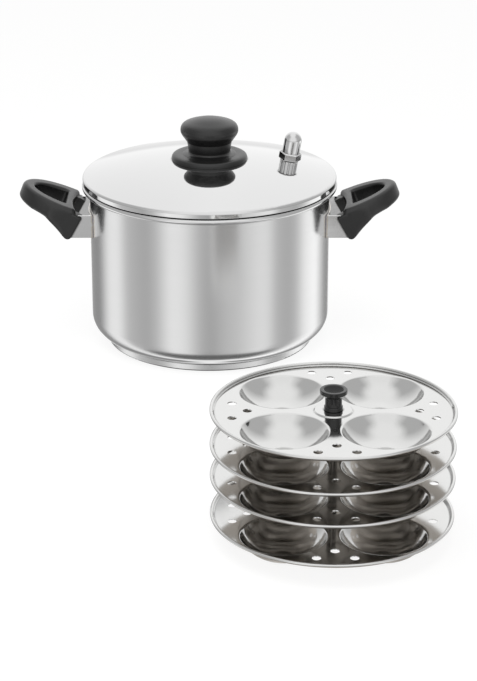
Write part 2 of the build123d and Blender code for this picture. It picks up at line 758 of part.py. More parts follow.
# Rod with its lower nut and washer
lowest_seat = plate_heights[0] + boss_height - plate_sheet
washer_low = lowest_seat - seat_gap - rod_washer_sheet
nut_low = washer_low - rod_nut_height
rod_low = nut_low - rod_end_length
collar_low = plate_heights[-1] + boss_height + seat_gap
knob_low = collar_low + rack_collar_height
rod_high = knob_low + rack_rod_entry
with BuildPart() as rack_rod:
    with BuildSketch(Plane(origin=(rack_x, rack_y, rod_low))):
        Circle(rod_radius)
    extrude(amount=rod_high - rod_low)
    chamfer(rack_rod.edges().filter_by(GeomType.CIRCLE), rod_radius / 4)
rack_rod.part.label = "rack_rod"
export_step(rack_rod.part, "parts/rack_rod.step")

with BuildPart() as rod_washer:
    with BuildSketch(Plane(origin=(rack_x, rack_y, washer_low))):
        Circle(rod_washer_radius)
        Circle(rod_radius + fixed_gap, mode=Mode.SUBTRACT)
    extrude(amount=rod_washer_sheet)
rod_washer.part.label = "rod_washer"
export_step(rod_washer.part, "parts/rod_washer.step")

with BuildPart() as rod_nut:
    with BuildSketch(Plane(origin=(rack_x, rack_y, nut_low))):
        RegularPolygon(rod_nut_flats / 2, 6, major_radius=False)
    extrude(amount=rod_nut_height)
    chamfer(rod_nut.faces().sort_by(Axis.Z)[0].edges(), rod_nut_chamfer)
    with BuildSketch(Plane(origin=(rack_x, rack_y, nut_low - cut_overrun))):
        Circle(rod_radius + thread_gap)
    extrude(amount=rod_nut_height + 2 * cut_overrun, mode=Mode.SUBTRACT)
rod_nut.part.label = "rod_nut"
export_step(rod_nut.part, "parts/rod_nut.step")

# Spacer tubes between the plates
for number, step in enumerate(plate_steps, start=1):
    spacer_low = plate_heights[number - 1] + boss_height + seat_gap
    spacer_length = step - plate_sheet - 2 * seat_gap
    with BuildPart() as spacer:
        with BuildSketch(Plane(origin=(rack_x, rack_y, spacer_low))):
            Circle(spacer_radius)
            Circle(rod_radius + fixed_gap, mode=Mode.SUBTRACT)
        extrude(amount=spacer_length)
    spacer.part.label = f"spacer_{number}"
    export_step(spacer.part, f"parts/spacer_{number}.step")

# Loose collar under the rack knob
with BuildPart() as rack_collar:
    with BuildSketch(Plane(origin=(rack_x, rack_y, collar_low))):
        Circle(rack_collar_radius)
        Circle(rod_radius + running_gap, mode=Mode.SUBTRACT)
    extrude(amount=rack_collar_height)
    fillet(rack_collar.edges().group_by(Axis.Z)[-1].sort_by(SortBy.LENGTH)[-1], rack_collar_height / 4)
rack_collar.part.label = "rack_collar"
export_step(rack_collar.part, "parts/rack_collar.step")

# Rack knob: stem, flared head with a dish, and a hole from below for the insert
knob_plane = Plane(origin=(rack_x, rack_y, knob_low), x_dir=(1, 0, 0), z_dir=(0, -1, 0))
head_low = rack_knob_height - rack_head_height
with BuildPart() as rack_knob:
    with BuildSketch(knob_plane):
        with BuildLine():
            Polyline(
                (0, rack_insert_length + thread_gap),
                (rack_insert_radius + thread_gap, rack_insert_length + thread_gap),
                (rack_insert_radius + thread_gap, 0),
                (rack_knob_radius, 0),
                (rack_knob_radius, head_low - rack_head_taper),
                (rack_head_radius, head_low),
                (rack_head_radius, rack_knob_height),
                (rack_dish_radius, rack_knob_height),
            )
            ThreePointArc(
                (rack_dish_radius, rack_knob_height),
                (rack_dish_radius / 2, rack_knob_height - rack_dish_depth * 3 / 4),
                (0, rack_knob_height - rack_dish_depth),
            )
            Line((0, rack_knob_height - rack_dish_depth), (0, rack_insert_length + thread_gap))
        make_face()
    revolve(axis=Axis((rack_x, rack_y, 0), (0, 0, 1)))
    head_edges = rack_knob.edges().filter_by(GeomType.CIRCLE).filter_by(
        lambda edge: edge.radius > rack_knob_radius + rack_head_taper / 4
    )
    fillet(head_edges, rack_head_height / 5)
rack_knob.part.label = "rack_knob"
export_step(rack_knob.part, "parts/rack_knob.step")

# Brass insert of the rack knob, on the rod's thread
with BuildPart() as rack_insert:
    with BuildSketch(Plane(origin=(rack_x, rack_y, knob_low))):
        Circle(rack_insert_radius)
    extrude(amount=rack_insert_length)
    with BuildSketch(Plane(origin=(rack_x, rack_y, knob_low - cut_overrun))):
        Circle(rod_radius + running_gap)
    extrude(amount=cut_overrun + rack_insert_length, mode=Mode.SUBTRACT)
rack_insert.part.label = "rack_insert"
export_step(rack_insert.part, "parts/rack_insert.step")
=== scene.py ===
import math

import bpy
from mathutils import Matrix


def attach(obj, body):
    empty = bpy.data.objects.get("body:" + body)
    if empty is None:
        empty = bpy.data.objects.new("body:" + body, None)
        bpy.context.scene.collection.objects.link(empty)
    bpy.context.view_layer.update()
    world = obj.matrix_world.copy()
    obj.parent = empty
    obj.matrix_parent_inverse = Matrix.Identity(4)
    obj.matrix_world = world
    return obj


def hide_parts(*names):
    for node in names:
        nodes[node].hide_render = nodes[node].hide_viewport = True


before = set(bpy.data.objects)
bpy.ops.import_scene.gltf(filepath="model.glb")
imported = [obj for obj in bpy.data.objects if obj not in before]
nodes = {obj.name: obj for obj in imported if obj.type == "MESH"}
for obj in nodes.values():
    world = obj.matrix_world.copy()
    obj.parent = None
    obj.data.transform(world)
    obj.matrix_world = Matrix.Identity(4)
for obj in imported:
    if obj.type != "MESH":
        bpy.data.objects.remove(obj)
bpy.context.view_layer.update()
scene = bpy.context.scene
scene.view_settings.view_transform = "Standard"

# Camera: a catalogue picture's view, level from side to side and looking a little down, from
# two metres away with a long lens, so that the pot and its rack keep their proportions.
camera_place = (0.0265, -1.98406, 0.7652)
camera_down = 21.27        # degrees below level
camera_lens = 119.36       # millimetres, and so is the film
camera_film = 36
camera_reach = 50

camera = bpy.data.objects.new("camera", bpy.data.cameras.new("camera"))
scene.collection.objects.link(camera)
camera.location = camera_place
camera.rotation_euler = (math.radians(90 - camera_down), 0, 0)
camera.data.lens = camera_lens
camera.data.sensor_width = camera_film
camera.data.clip_end = camera_reach
scene.camera = camera

# Lamps: a broad soft one overhead lights the object and gives it its shadow, and a weaker one
# fills from the front. Polished metal sees the surround in their place.
lamps = (                  # name, place, side in metres, watts
    ("room_lamp", (-0.25, -0.55, 1.7), 1.6, 18),
    ("front_lamp", (0.7, -1.9, 0.9), 1.2, 7),
)

for name, place, side, power in lamps:
    lamp = bpy.data.objects.new(name, bpy.data.lights.new(name, "AREA"))
    scene.collection.objects.link(lamp)
    lamp.location = place
    lamp.rotation_euler = (-lamp.location).to_track_quat("-Z", "Y").to_euler()
    lamp.data.shape = "SQUARE"
    lamp.data.size = side
    lamp.data.energy = power
    lamp.visible_glossy = False

# Card: a dim upright sheet of light close behind the rack, facing the pot. It lifts the rack's
# dark reflection in the pot's wall, and only polished metal sees it.
card_place = (0.074, -0.335)
card_width = 0.125
card_height = 0.11
card_light = 0.3           # where white is 1

card = bpy.data.objects.new("card", bpy.data.lights.new("card", "AREA"))
scene.collection.objects.link(card)
card.location = (*card_place, card_height / 2)
card.rotation_euler = (math.radians(90), 0, 0)
card.data.shape = "RECTANGLE"
card.data.size = card_width
card.data.size_y = card_height
card.data.energy = card_light * math.pi * card_width * card_height
card.visible_camera = False
card.visible_diffuse = False

# Surround: what polished steel reflects. A bright tent, dimmer overhead, stands on upright
# panels with grey flags between them, and these on a white table with a dark gap before its
# front edge. The camera sees plain white.
panels = [                 # degrees from the camera's side, positive to the right; brightness
    (-180, 1.2), (-172, 1.1), (-162, 0.4), (-134, 0.33), (-126, 0.6), (-114, 1.2), (-98, 1.25),
    (-86, 0.7), (-62, 0.55), (-52, 0.7), (-38, 1.25), (-24, 1.15), (-8, 0.6), (2, 0.5), (14, 0.7),
    (26, 0.78), (50, 1.12), (58, 1.12), (68, 0.66), (84, 0.58), (92, 0.7), (104, 1.25),
    (124, 1.5), (132, 1.0), (144, 0.45), (160, 0.3), (172, 1.0), (180, 1.2),
]
tent = [
    (-180, 1.22), (-150, 1.1), (-115, 0.6), (-65, 0.6), (-30, 1.1), (30, 1.1), (65, 0.6),
    (115, 0.6), (150, 1.18), (180, 1.22),
]
brightest = 1.5            # the ramps hold shares of this
overhead_light = 1.15
table_light = 1.2
gap_light = 0.17
room_light = 0.42          # what matt surfaces get from all sides
tent_edge = (-0.25, -0.12)       # heights of a unit direction between which the tent begins,
overhead_edge = (0.75, 0.97)     # and the same for its top
table_edge = (-0.985, -0.955)    # and for the table
gap_edge = (-0.64, -0.8)         # heights between which the gap begins,
gap_front = (-0.03, -0.16)       # and how far a direction leans to the camera there
fold_height = -0.07        # the tent is dimmer at this height, where it folds out to the table
fold_edge = (0.06, 0.15)
fold_share = 0.78


def linear(hex_colour):
    """An sRGB hex colour as linear light, with full alpha."""
    shares = [int(hex_colour[i:i + 2], 16) / 255 for i in (0, 2, 4)]
    light = [s / 12.92 if s <= 0.04045 else ((s + 0.055) / 1.055) ** 2.4 for s in shares]
    return (*light, 1.0)


def grey(bright):
    """A brightness of the surround as a colour, in shares of the brightest."""
    share = bright / brightest
    return (share, share, share, 1.0)


def add(tree, kind, inputs=(), **settings):
    """Adds a node, sets its properties, and fills its inputs with values or nodes' outputs."""
    node = tree.nodes.new(kind)
    for name, value in settings.items():
        setattr(node, name, value)
    for socket, value in dict(inputs).items():
        if isinstance(value, bpy.types.NodeSocket):
            tree.links.new(value, node.inputs[socket])
        else:
            node.inputs[socket].default_value = value
    return node


def fill_ramp(node, stops):
    """Gives a colour ramp its stops: (place from 0 to 1, linear colour)."""
    ramp = node.color_ramp
    while len(ramp.elements) > 1:
        ramp.elements.remove(ramp.elements[-1])
    for number, (place, colour) in enumerate(stops):
        stop = ramp.elements[0] if number == 0 else ramp.elements.new(place)
        stop.position = place
        stop.color = colour


world = bpy.data.worlds.new("studio")
scene.world = world
world.use_nodes = True
tree = world.node_tree
tree.nodes.clear()
direction = add(tree, "ShaderNodeTexCoord").outputs["Generated"]
parts = add(tree, "ShaderNodeSeparateXYZ", {"Vector": direction})
towards = add(tree, "ShaderNodeMath", {0: parts.outputs["Y"], 1: -1.0}, operation="MULTIPLY")
azimuth = add(
    tree, "ShaderNodeMath", {0: parts.outputs["X"], 1: towards.outputs[0]}, operation="ARCTAN2",
)
turn = add(
    tree, "ShaderNodeMapRange",
    {"Value": azimuth.outputs[0], "From Min": -math.pi, "From Max": math.pi},
)
low = add(tree, "ShaderNodeValToRGB", {"Fac": turn.outputs[0]})
fill_ramp(low, [(place / 360 + 0.5, grey(bright)) for place, bright in panels])
high = add(tree, "ShaderNodeValToRGB", {"Fac": turn.outputs[0]})
fill_ramp(high, [(place / 360 + 0.5, grey(bright)) for place, bright in tent])
shade = high.outputs[0]
for edge, beyond in (
    (overhead_edge, {"B": grey(overhead_light)}),
    (tent_edge, {"A": low.outputs[0]}),
    (table_edge, {"A": grey(table_light)}),
):
    rise = add(
        tree, "ShaderNodeMapRange",
        {"Value": parts.outputs["Z"], "From Min": edge[0], "From Max": edge[1]},
        interpolation_type="SMOOTHSTEP",
    )
    shade = add(
        tree, "ShaderNodeMix", {"Factor": rise.outputs[0], "A": shade, "B": shade, **beyond},
        data_type="RGBA",
    ).outputs["Result"]
from_fold = add(
    tree, "ShaderNodeMath", {0: parts.outputs["Z"], 1: fold_height}, operation="SUBTRACT",
)
off_fold = add(tree, "ShaderNodeMath", {0: from_fold.outputs[0]}, operation="ABSOLUTE")
dimmer = add(
    tree, "ShaderNodeMapRange",
    {"Value": off_fold.outputs[0], "From Min": fold_edge[0], "From Max": fold_edge[1],
     "To Min": fold_share, "To Max": 1.0},
    interpolation_type="SMOOTHSTEP",
)
shade = add(
    tree, "ShaderNodeVectorMath", {0: shade, "Scale": dimmer.outputs[0]}, operation="SCALE",
).outputs[0]
below = add(
    tree, "ShaderNodeMapRange",
    {"Value": parts.outputs["Z"], "From Min": gap_edge[0], "From Max": gap_edge[1]},
    interpolation_type="SMOOTHSTEP",
)
before = add(
    tree, "ShaderNodeMapRange",
    {"Value": parts.outputs["Y"], "From Min": gap_front[0], "From Max": gap_front[1]},
    interpolation_type="SMOOTHSTEP",
)
gap = add(
    tree, "ShaderNodeMath", {0: below.outputs[0], 1: before.outputs[0]}, operation="MULTIPLY",
)
shade = add(
    tree, "ShaderNodeMix", {"Factor": gap.outputs[0], "A": shade, "B": grey(gap_light)},
    data_type="RGBA",
).outputs["Result"]
rays = add(tree, "ShaderNodeLightPath")
ambient = add(
    tree, "ShaderNodeBackground", {"Color": linear("FFFFFF"), "Strength": room_light},
)
reflected = add(tree, "ShaderNodeBackground", {"Color": shade, "Strength": brightest})
white = add(tree, "ShaderNodeBackground", {"Color": linear("FFFFFF"), "Strength": 1.0})
seen_by_steel = add(
    tree, "ShaderNodeMixShader",
    {0: rays.outputs["Is Glossy Ray"], 1: ambient.outputs[0], 2: reflected.outputs[0]},
)
seen_by_camera = add(
    tree, "ShaderNodeMixShader",
    {0: rays.outputs["Is Camera Ray"], 1: seen_by_steel.outputs[0], 2: white.outputs[0]},
)
add(tree, "ShaderNodeOutputWorld", {"Surface": seen_by_camera.outputs[0]})

# Floor: one white sheet that the camera sees as nearly bare white, with a little of the
# object's shadow left on it. Polished metal sees the surround in its place.
floor_size = 14
paper_colour = "F7F7F6"
paper_glow = 1.09
glow_share = 0.8           # of what the camera sees; the rest is paper in the lamps' light

bpy.ops.object.select_all(action="DESELECT")
bpy.ops.mesh.primitive_plane_add(size=floor_size)
floor = bpy.context.object
floor.name = "floor"
floor.visible_glossy = False

# White backdrop paper: matt and even, with the soft shadow alone to show that it is there
floor_paper = bpy.data.materials.new("white_backdrop_paper")
floor_paper.use_nodes = True
tree = floor_paper.node_tree
tree.nodes.clear()
rays = add(tree, "ShaderNodeLightPath")
paper = add(tree, "ShaderNodeBsdfDiffuse", {"Color": linear(paper_colour)})
glow = add(tree, "ShaderNodeEmission", {"Color": linear("FFFFFF"), "Strength": paper_glow})
share = add(
    tree, "ShaderNodeMath", {0: rays.outputs["Is Camera Ray"], 1: glow_share},
    operation="MULTIPLY",
)
mixed = add(
    tree, "ShaderNodeMixShader", {0: share.outputs[0], 1: paper.outputs[0], 2: glow.outputs[0]},
)
add(tree, "ShaderNodeOutputMaterial", {"Surface": mixed.outputs[0]})
floor.data.materials.append(floor_paper)

# Pot: one deep-drawn sheet of stainless steel with a flared mouth and a rolled rim. A belt
# turned it satin round the wall; the rim and the corner over the base are buffed bright.
steel_colour = "D3D3D3"
polished_roughness = (0.021, 0.056)
smudge_size = 0.025        # faint hand smudges
ripple_size = 0.045        # the slow waves that drawing leaves in the sheet
ripple_depth = 0.000012
satin_low = 0.0158         # the satin band's lower and upper edge, and how soft each is
satin_low_blur = 0.0002
satin_high = 0.1446
satin_high_blur = 0.0008
bright_roughness = 0.035   # outside the band
satin_roughness = (0.1936, 0.2464)
belt_line = 0.0005         # spacing of the belt's lines, drawn ten times coarser than real
belt_length = 0.1
noise_band = (0.3, 0.7)    # a noise seldom leaves this
seam_shade_reach = 0.002         # how far the painted shade reaches out from a seam or crevice
# the painted shade's dark brown, put into seams and crevices
seam_shade_colour = "24211E"
seam_shade_edge = (0.5, 0.92)    # a point's open share, from where the painted shade is full to where it ends
seam_shade_samples = 6


def metal(name, colour, roughness, grain, wave_depth, wave_size):
    """A metal with low waves, painted shade in its seams and crevices, and a roughness that varies
    over its grain.

    roughness is its least and most, and grain is the size of a patch along X, Y and Z.
    """
    material = bpy.data.materials.new(name)
    material.use_nodes = True
    tree = material.node_tree
    shader = tree.nodes["Principled BSDF"]
    place = add(tree, "ShaderNodeTexCoord").outputs["Object"]
    stretch = add(
        tree, "ShaderNodeMapping", {"Vector": place, "Scale": [1 / size for size in grain]},
    )
    patches = add(
        tree, "ShaderNodeTexNoise", {"Vector": stretch.outputs[0], "Scale": 1.0, "Detail": 3.0},
    )
    rough = add(
        tree, "ShaderNodeMapRange",
        {"Value": patches.outputs["Fac"], "From Min": noise_band[0], "From Max": noise_band[1],
         "To Min": roughness[0], "To Max": roughness[1]},
    )
    waves = add(
        tree, "ShaderNodeTexNoise", {"Vector": place, "Scale": 1 / wave_size, "Detail": 0.0},
    )
    bump = add(
        tree, "ShaderNodeBump", {"Height": waves.outputs["Fac"], "Distance": wave_depth},
    )
    # Painted shade: ambient occlusion darkens the colour in seams, gaps and crevices, where shade
    # falls
    open_share = add(
        tree, "ShaderNodeAmbientOcclusion", {"Distance": seam_shade_reach}, samples=seam_shade_samples,
    )
    unshaded = add(
        tree, "ShaderNodeMapRange",
        {"Value": open_share.outputs["AO"], "From Min": seam_shade_edge[0], "From Max": seam_shade_edge[1]},
        interpolation_type="SMOOTHSTEP",
    )
    seam_shaded = add(
        tree, "ShaderNodeMix",
        {"Factor": unshaded.outputs[0], "A": linear(seam_shade_colour), "B": linear(colour)},
        data_type="RGBA",
    )
    shader.inputs["Metallic"].default_value = 1.0
    tree.links.new(seam_shaded.outputs["Result"], shader.inputs["Base Color"])
    tree.links.new(rough.outputs[0], shader.inputs["Roughness"])
    tree.links.new(bump.outputs[0], shader.inputs["Normal"])
    return material


def dress(names, material):
    """Gives carried-over nodes one material."""
    for name in names:
        nodes[name].data.materials.clear()
        nodes[name].data.materials.append(material)


# Mirror-polished stainless steel: crisp reflections, a touch blurred where hands have been
mirror_steel = metal(
    "mirror_polished_stainless_steel", steel_colour, polished_roughness,
    grain=(smudge_size, smudge_size, smudge_size), wave_depth=ripple_depth, wave_size=ripple_size,
)

# Satin stainless steel on the wall: soft upright reflections with fine level lines
pot_steel = metal(
    "satin_and_bright_stainless_steel", steel_colour, satin_roughness,
    grain=(belt_length, belt_length, belt_line), wave_depth=ripple_depth, wave_size=ripple_size,
)
tree = pot_steel.node_tree
shader = tree.nodes["Principled BSDF"]
place = add(tree, "ShaderNodeTexCoord").outputs["Object"]
height = add(tree, "ShaderNodeSeparateXYZ", {"Vector": place}).outputs["Z"]
above = add(
    tree, "ShaderNodeMapRange",
    {"Value": height, "From Min": satin_low - satin_low_blur,
     "From Max": satin_low + satin_low_blur},
)
below = add(
    tree, "ShaderNodeMapRange",
    {"Value": height, "From Min": satin_high + satin_high_blur,
     "From Max": satin_high - satin_high_blur},
)
satin = add(
    tree, "ShaderNodeMath", {0: above.outputs[0], 1: below.outputs[0]}, operation="MULTIPLY",
)
lined = shader.inputs["Roughness"].links[0].from_socket
rough = add(
    tree, "ShaderNodeMix", {"Factor": satin.outputs[0], "A": bright_roughness, "B": lined},
)
tree.links.new(rough.outputs[0], shader.inputs["Roughness"])
dress(["pot_body"], pot_steel)

# Base: an aluminium disc brazed under the pot, for even heat, with a polished steel cap
# pressed over it. The disc shows only where the cap's edge meets the pot.
aluminium_colour = "CFCFD1"
aluminium_roughness = (0.3, 0.46)
rolling_line = 0.0004      # spacing of the marks that the mill's rolls leave, twice as coarse
rolling_length = 1 / 12
rolled_wave_depth = 0.000004
rolled_wave_size = 0.008
cap_roughness = (0.22, 0.26)
cap_patch = 1 / 60         # where the abrasive cut a little more or less
cap_wave_depth = 0.000004
cap_wave_size = 0.02

# Mill-rolled aluminium: pale and dull, with faint straight streaks
rolled_aluminium = metal(
    "mill_rolled_aluminium", aluminium_colour, aluminium_roughness,
    grain=(rolling_line, rolling_length, rolling_length),
    wave_depth=rolled_wave_depth, wave_size=rolled_wave_size,
)
dress(["base_core"], rolled_aluminium)

# Satin cap steel: spun against a fine abrasive, so it blurs what it reflects
satin_cap = metal(
    "satin_spun_stainless_steel", steel_colour, cap_roughness,
    grain=(cap_patch, cap_patch, cap_patch), wave_depth=cap_wave_depth, wave_size=cap_wave_size,
)
dress(["base_cap"], satin_cap)

# Brackets: a strip of stainless steel bent to a U on each side, its back spot-welded to the
# wall under the rim.
strip_roughness = (0.1, 0.2)
strip_line = 0.0003        # grinding lines along the strip
strip_length = 1 / 12
strip_wave_depth = 0.000004
strip_wave_size = 0.01
tint_start = 0.1095        # distances from the pot's axis, for the weld's heat
tint_end = 0.117
tint_blotch = 0.006        # both the blotches' size and how far they move the tints
blue_tint = "C4C2C9"
straw_tint = "D0C9BE"
clean_strip = "DADADA"

# Heat-tinted strip steel: ground bright, with straw and blue tints beside the wall
bracket_steel = metal(
    "heat_tinted_strip_steel", steel_colour, strip_roughness,
    grain=(strip_length, strip_length, strip_line),
    wave_depth=strip_wave_depth, wave_size=strip_wave_size,
)
tree = bracket_steel.node_tree
place = add(tree, "ShaderNodeTexCoord").outputs["Object"]
flat = add(tree, "ShaderNodeMapping", {"Vector": place, "Scale": (1.0, 1.0, 0.0)})
blotch = add(
    tree, "ShaderNodeTexNoise", {"Vector": place, "Scale": 1 / tint_blotch, "Detail": 2.0},
)
out = add(tree, "ShaderNodeVectorMath", {0: flat.outputs[0]}, operation="LENGTH")
spread = add(
    tree, "ShaderNodeMath", {0: blotch.outputs["Fac"], 1: tint_blotch, 2: out.outputs["Value"]},
    operation="MULTIPLY_ADD",
)
from_weld = add(
    tree, "ShaderNodeMapRange",
    {"Value": spread.outputs[0], "From Min": tint_start + tint_blotch / 2,
     "From Max": tint_end + tint_blotch / 2},
)
tints = add(tree, "ShaderNodeValToRGB", {"Fac": from_weld.outputs[0]})
fill_ramp(tints, [(0.0, linear(blue_tint)), (0.2, linear(straw_tint)), (0.4, linear(clean_strip))])
# The tints take the place of the steel's colour outside the painted seam shade
seam_shaded = tree.nodes["Principled BSDF"].inputs["Base Color"].links[0].from_node
tree.links.new(tints.outputs[0], seam_shaded.inputs["B"])
dress(["bracket_left", "bracket_right"], bracket_steel)

# Spot welds: the welder's electrodes leave four shallow round marks on each bracket's back,
# a low ring of squeezed metal about a dished middle. One is modelled and copied to its places.
weld_radius = 0.0024
weld_height = 0.00022
weld_sunk = 0.0001         # its foot stands inside the strip
weld_taper = 0.82
weld_ring = 0.0006         # width of the ring, and of the slope down into the dish
weld_slope = 0.00048
weld_dish = 0.0003
weld_softness = 0.000132
weld_face = 0.1115         # the bracket's back, from the pot's axis
weld_turns = (-9.5, 9.5)   # degrees to each side of the bracket's middle
weld_heights = (0.1105, 0.1205)

bpy.ops.object.select_all(action="DESELECT")
bpy.ops.mesh.primitive_circle_add(
    vertices=24, radius=weld_radius, fill_type="NGON", location=(0, 0, -weld_sunk),
)
weld = bpy.context.object
bpy.ops.object.mode_set(mode="EDIT")
bpy.ops.mesh.select_all(action="SELECT")
bpy.ops.mesh.extrude_region_move(
    TRANSFORM_OT_translate={"value": (0, 0, weld_height + weld_sunk)},
)
bpy.ops.transform.resize(value=(weld_taper, weld_taper, 1))
bpy.ops.mesh.inset(thickness=weld_ring)
bpy.ops.mesh.inset(thickness=weld_slope)
bpy.ops.transform.translate(value=(0, 0, -weld_dish))
bpy.ops.mesh.select_all(action="SELECT")
bpy.ops.mesh.normals_make_consistent(inside=False)
bpy.ops.object.mode_set(mode="OBJECT")
soften = weld.modifiers.new("soften", "BEVEL")
soften.width = weld_softness
soften.segments = 2
soften.limit_method = "ANGLE"
bpy.ops.object.modifier_apply(modifier=soften.name)
bpy.ops.object.shade_smooth()
weld.data.materials.append(bracket_steel)
for side, facing in (("right", 0), ("left", 180)):
    weld_places = [(turned, up) for turned in weld_turns for up in weld_heights]
    for number, (turned, up) in enumerate(weld_places, start=1):
        mark = weld.copy()
        mark.data = weld.data.copy()
        mark.name = f"spot_weld_{side}_{number}"
        scene.collection.objects.link(mark)
        angle = math.radians(facing + turned)
        mark.rotation_euler = (0, math.radians(90), angle)
        mark.location = (weld_face * math.cos(angle), weld_face * math.sin(angle), up)
        bpy.ops.object.select_all(action="DESELECT")
        mark.select_set(True)
        bpy.context.view_layer.objects.active = mark
        bpy.ops.object.transform_apply(location=True, rotation=True, scale=True)
        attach(mark, "pot")
bpy.data.objects.remove(weld)

# Grips: black phenolic resin pressed in a hot mould, each a ring on two legs that hold the
# bracket's arms. In the mould each leg flows into the ring. The solid meets it there with a
# small step, so a copy of it gets fine, even faces and is rubbed smooth outside that join.
resin_dark = "101010"
resin_light = "161616"
resin_roughness = (0.28, 0.38)
resin_ior = 1.55
cloud_size = 0.015         # slow changes of tone and gloss
flour_size = 0.0012        # the wood flour in the resin, drawn a few times coarser than real
flour_depth = 0.00003
flour_strength = 0.3
merge_distance = 0.000002
face_size = 0.00045
corner_out = 0.1188        # the ring's near top corner, out from the pot's axis and up
corner_up = 0.1304
ring_slope = math.radians(21.5)
rub_near = (0.006, 0.014)  # where the rubbing begins and is full, outward along the slope,
rub_far = (0.048, 0.038)   # inward from the ring's far end,
rub_beside = (0.022, 0.026)    # out to each side,
rub_under = (0.001, 0.006)     # and down from the ring's top
rub_strength = 0.5
rub_passes = 450
even_passes = 3            # and a light rub all over, for the faces' own small steps


def ramp_share(value, nought, full):
    """0 at one value, 1 at the other, and a straight line between them."""
    return min(1.0, max(0.0, (value - nought) / (full - nought)))


# Moulded phenolic resin: near black, with a soft low sheen that clouds a little
phenolic = bpy.data.materials.new("moulded_phenolic_resin")
phenolic.use_nodes = True
tree = phenolic.node_tree
shader = tree.nodes["Principled BSDF"]
place = add(tree, "ShaderNodeTexCoord").outputs["Object"]
flour = add(tree, "ShaderNodeTexNoise", {"Vector": place, "Scale": 1 / flour_size, "Detail": 2.0})
cloud = add(tree, "ShaderNodeTexNoise", {"Vector": place, "Scale": 1 / cloud_size, "Detail": 2.0})
rough = add(
    tree, "ShaderNodeMapRange",
    {"Value": cloud.outputs["Fac"], "To Min": resin_roughness[0], "To Max": resin_roughness[1]},
)
bump = add(
    tree, "ShaderNodeBump",
    {"Height": flour.outputs["Fac"], "Strength": flour_strength, "Distance": flour_depth},
)
tone = add(
    tree, "ShaderNodeMix",
    {"Factor": cloud.outputs["Fac"], "A": linear(resin_dark), "B": linear(resin_light)},
    data_type="RGBA",
)
shader.inputs["IOR"].default_value = resin_ior
tree.links.new(tone.outputs["Result"], shader.inputs["Base Color"])
tree.links.new(rough.outputs[0], shader.inputs["Roughness"])
tree.links.new(bump.outputs[0], shader.inputs["Normal"])
dress(["grip_left", "grip_right"], phenolic)

for side in ("left", "right"):
    grip = nodes[f"grip_{side}"].copy()
    grip.data = nodes[f"grip_{side}"].data.copy()
    grip.name = f"moulded_grip_{side}"
    scene.collection.objects.link(grip)
    bpy.ops.object.select_all(action="DESELECT")
    grip.select_set(True)
    bpy.context.view_layer.objects.active = grip
    bpy.ops.object.mode_set(mode="EDIT")
    bpy.ops.mesh.select_all(action="SELECT")
    bpy.ops.mesh.remove_doubles(threshold=merge_distance)
    bpy.ops.object.mode_set(mode="OBJECT")
    faces = grip.modifiers.new("even_faces", "REMESH")
    faces.mode = "VOXEL"
    faces.voxel_size = face_size
    faces.use_smooth_shade = True
    bpy.ops.object.modifier_apply(modifier=faces.name)
    join = grip.vertex_groups.new(name="join")
    for vertex in grip.data.vertices:
        out = abs(vertex.co.x) - corner_out
        up = vertex.co.z - corner_up
        along = out * math.cos(ring_slope) + up * math.sin(ring_slope)
        down = out * math.sin(ring_slope) - up * math.cos(ring_slope)
        share = (ramp_share(along, *rub_near) * ramp_share(along, *rub_far)
                 * ramp_share(abs(vertex.co.y), *rub_beside) * ramp_share(down, *rub_under))
        if share > 0:
            join.add([vertex.index], share, "REPLACE")
    for name, passes, group in (("rub", rub_passes, join.name), ("even_out", even_passes, "")):
        smooth = grip.modifiers.new(name, "SMOOTH")
        smooth.factor = rub_strength
        smooth.iterations = passes
        smooth.vertex_group = group
        bpy.ops.object.modifier_apply(modifier=smooth.name)
    bpy.ops.object.shade_smooth()
    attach(grip, "pot")
    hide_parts(f"grip_{side}")

# Grip screws: two to a grip, turned from steel bar, driven from the inside through its legs
# into the bracket's arms.
turned_roughness = (0.08, 0.2)
turning_line = 0.00025     # the tool's marks, drawn a few times coarser than real
turning_length = 1 / 30
turned_wave_depth = 0.000003
turned_wave_size = 0.006

# Turned stainless steel: bright, with the lathe's fine rings
turned_steel = metal(
    "turned_stainless_steel", steel_colour, turned_roughness,
    grain=(turning_length, turning_length, turning_line),
    wave_depth=turned_wave_depth, wave_size=turned_wave_size,
)
dress(["grip_screws_left", "grip_screws_right"], turned_steel)

# Lid: one pressed sheet with a shallow dome and its edge turned down, buffed like the pot,
# and a plain ring spot-welded inside it that drops into the pot's mouth.
dress(["lid_shell", "lid_inner_ring"], mirror_steel)

# Lid knob: moulded like the grips, with a brass insert that takes a steel screw and washer
# from inside the lid.
brass_colour = "C9A35E"
brass_roughness = (0.18, 0.3)

# Turned brass: warm yellow, with the lathe's rings, and duller than the steel
turned_brass = metal(
    "turned_brass", brass_colour, brass_roughness,
    grain=(turning_length, turning_length, turning_line),
    wave_depth=turned_wave_depth, wave_size=turned_wave_size,
)
dress(["lid_knob"], phenolic)
dress(["knob_insert"], turned_brass)
dress(["knob_screw", "knob_washer"], turned_steel)

# Steam vent: a turned and fluted steel stem bolted through the lid on a silicone gasket, and
# on its nipple a loose weight, a bullet-shaped cap screwed into a hexagonal collar.
silicone_dark = "B9B8B4"
silicone_light = "C9C8C5"
silicone_roughness = 0.55
silicone_ior = 1.41
bloom_size = 0.003

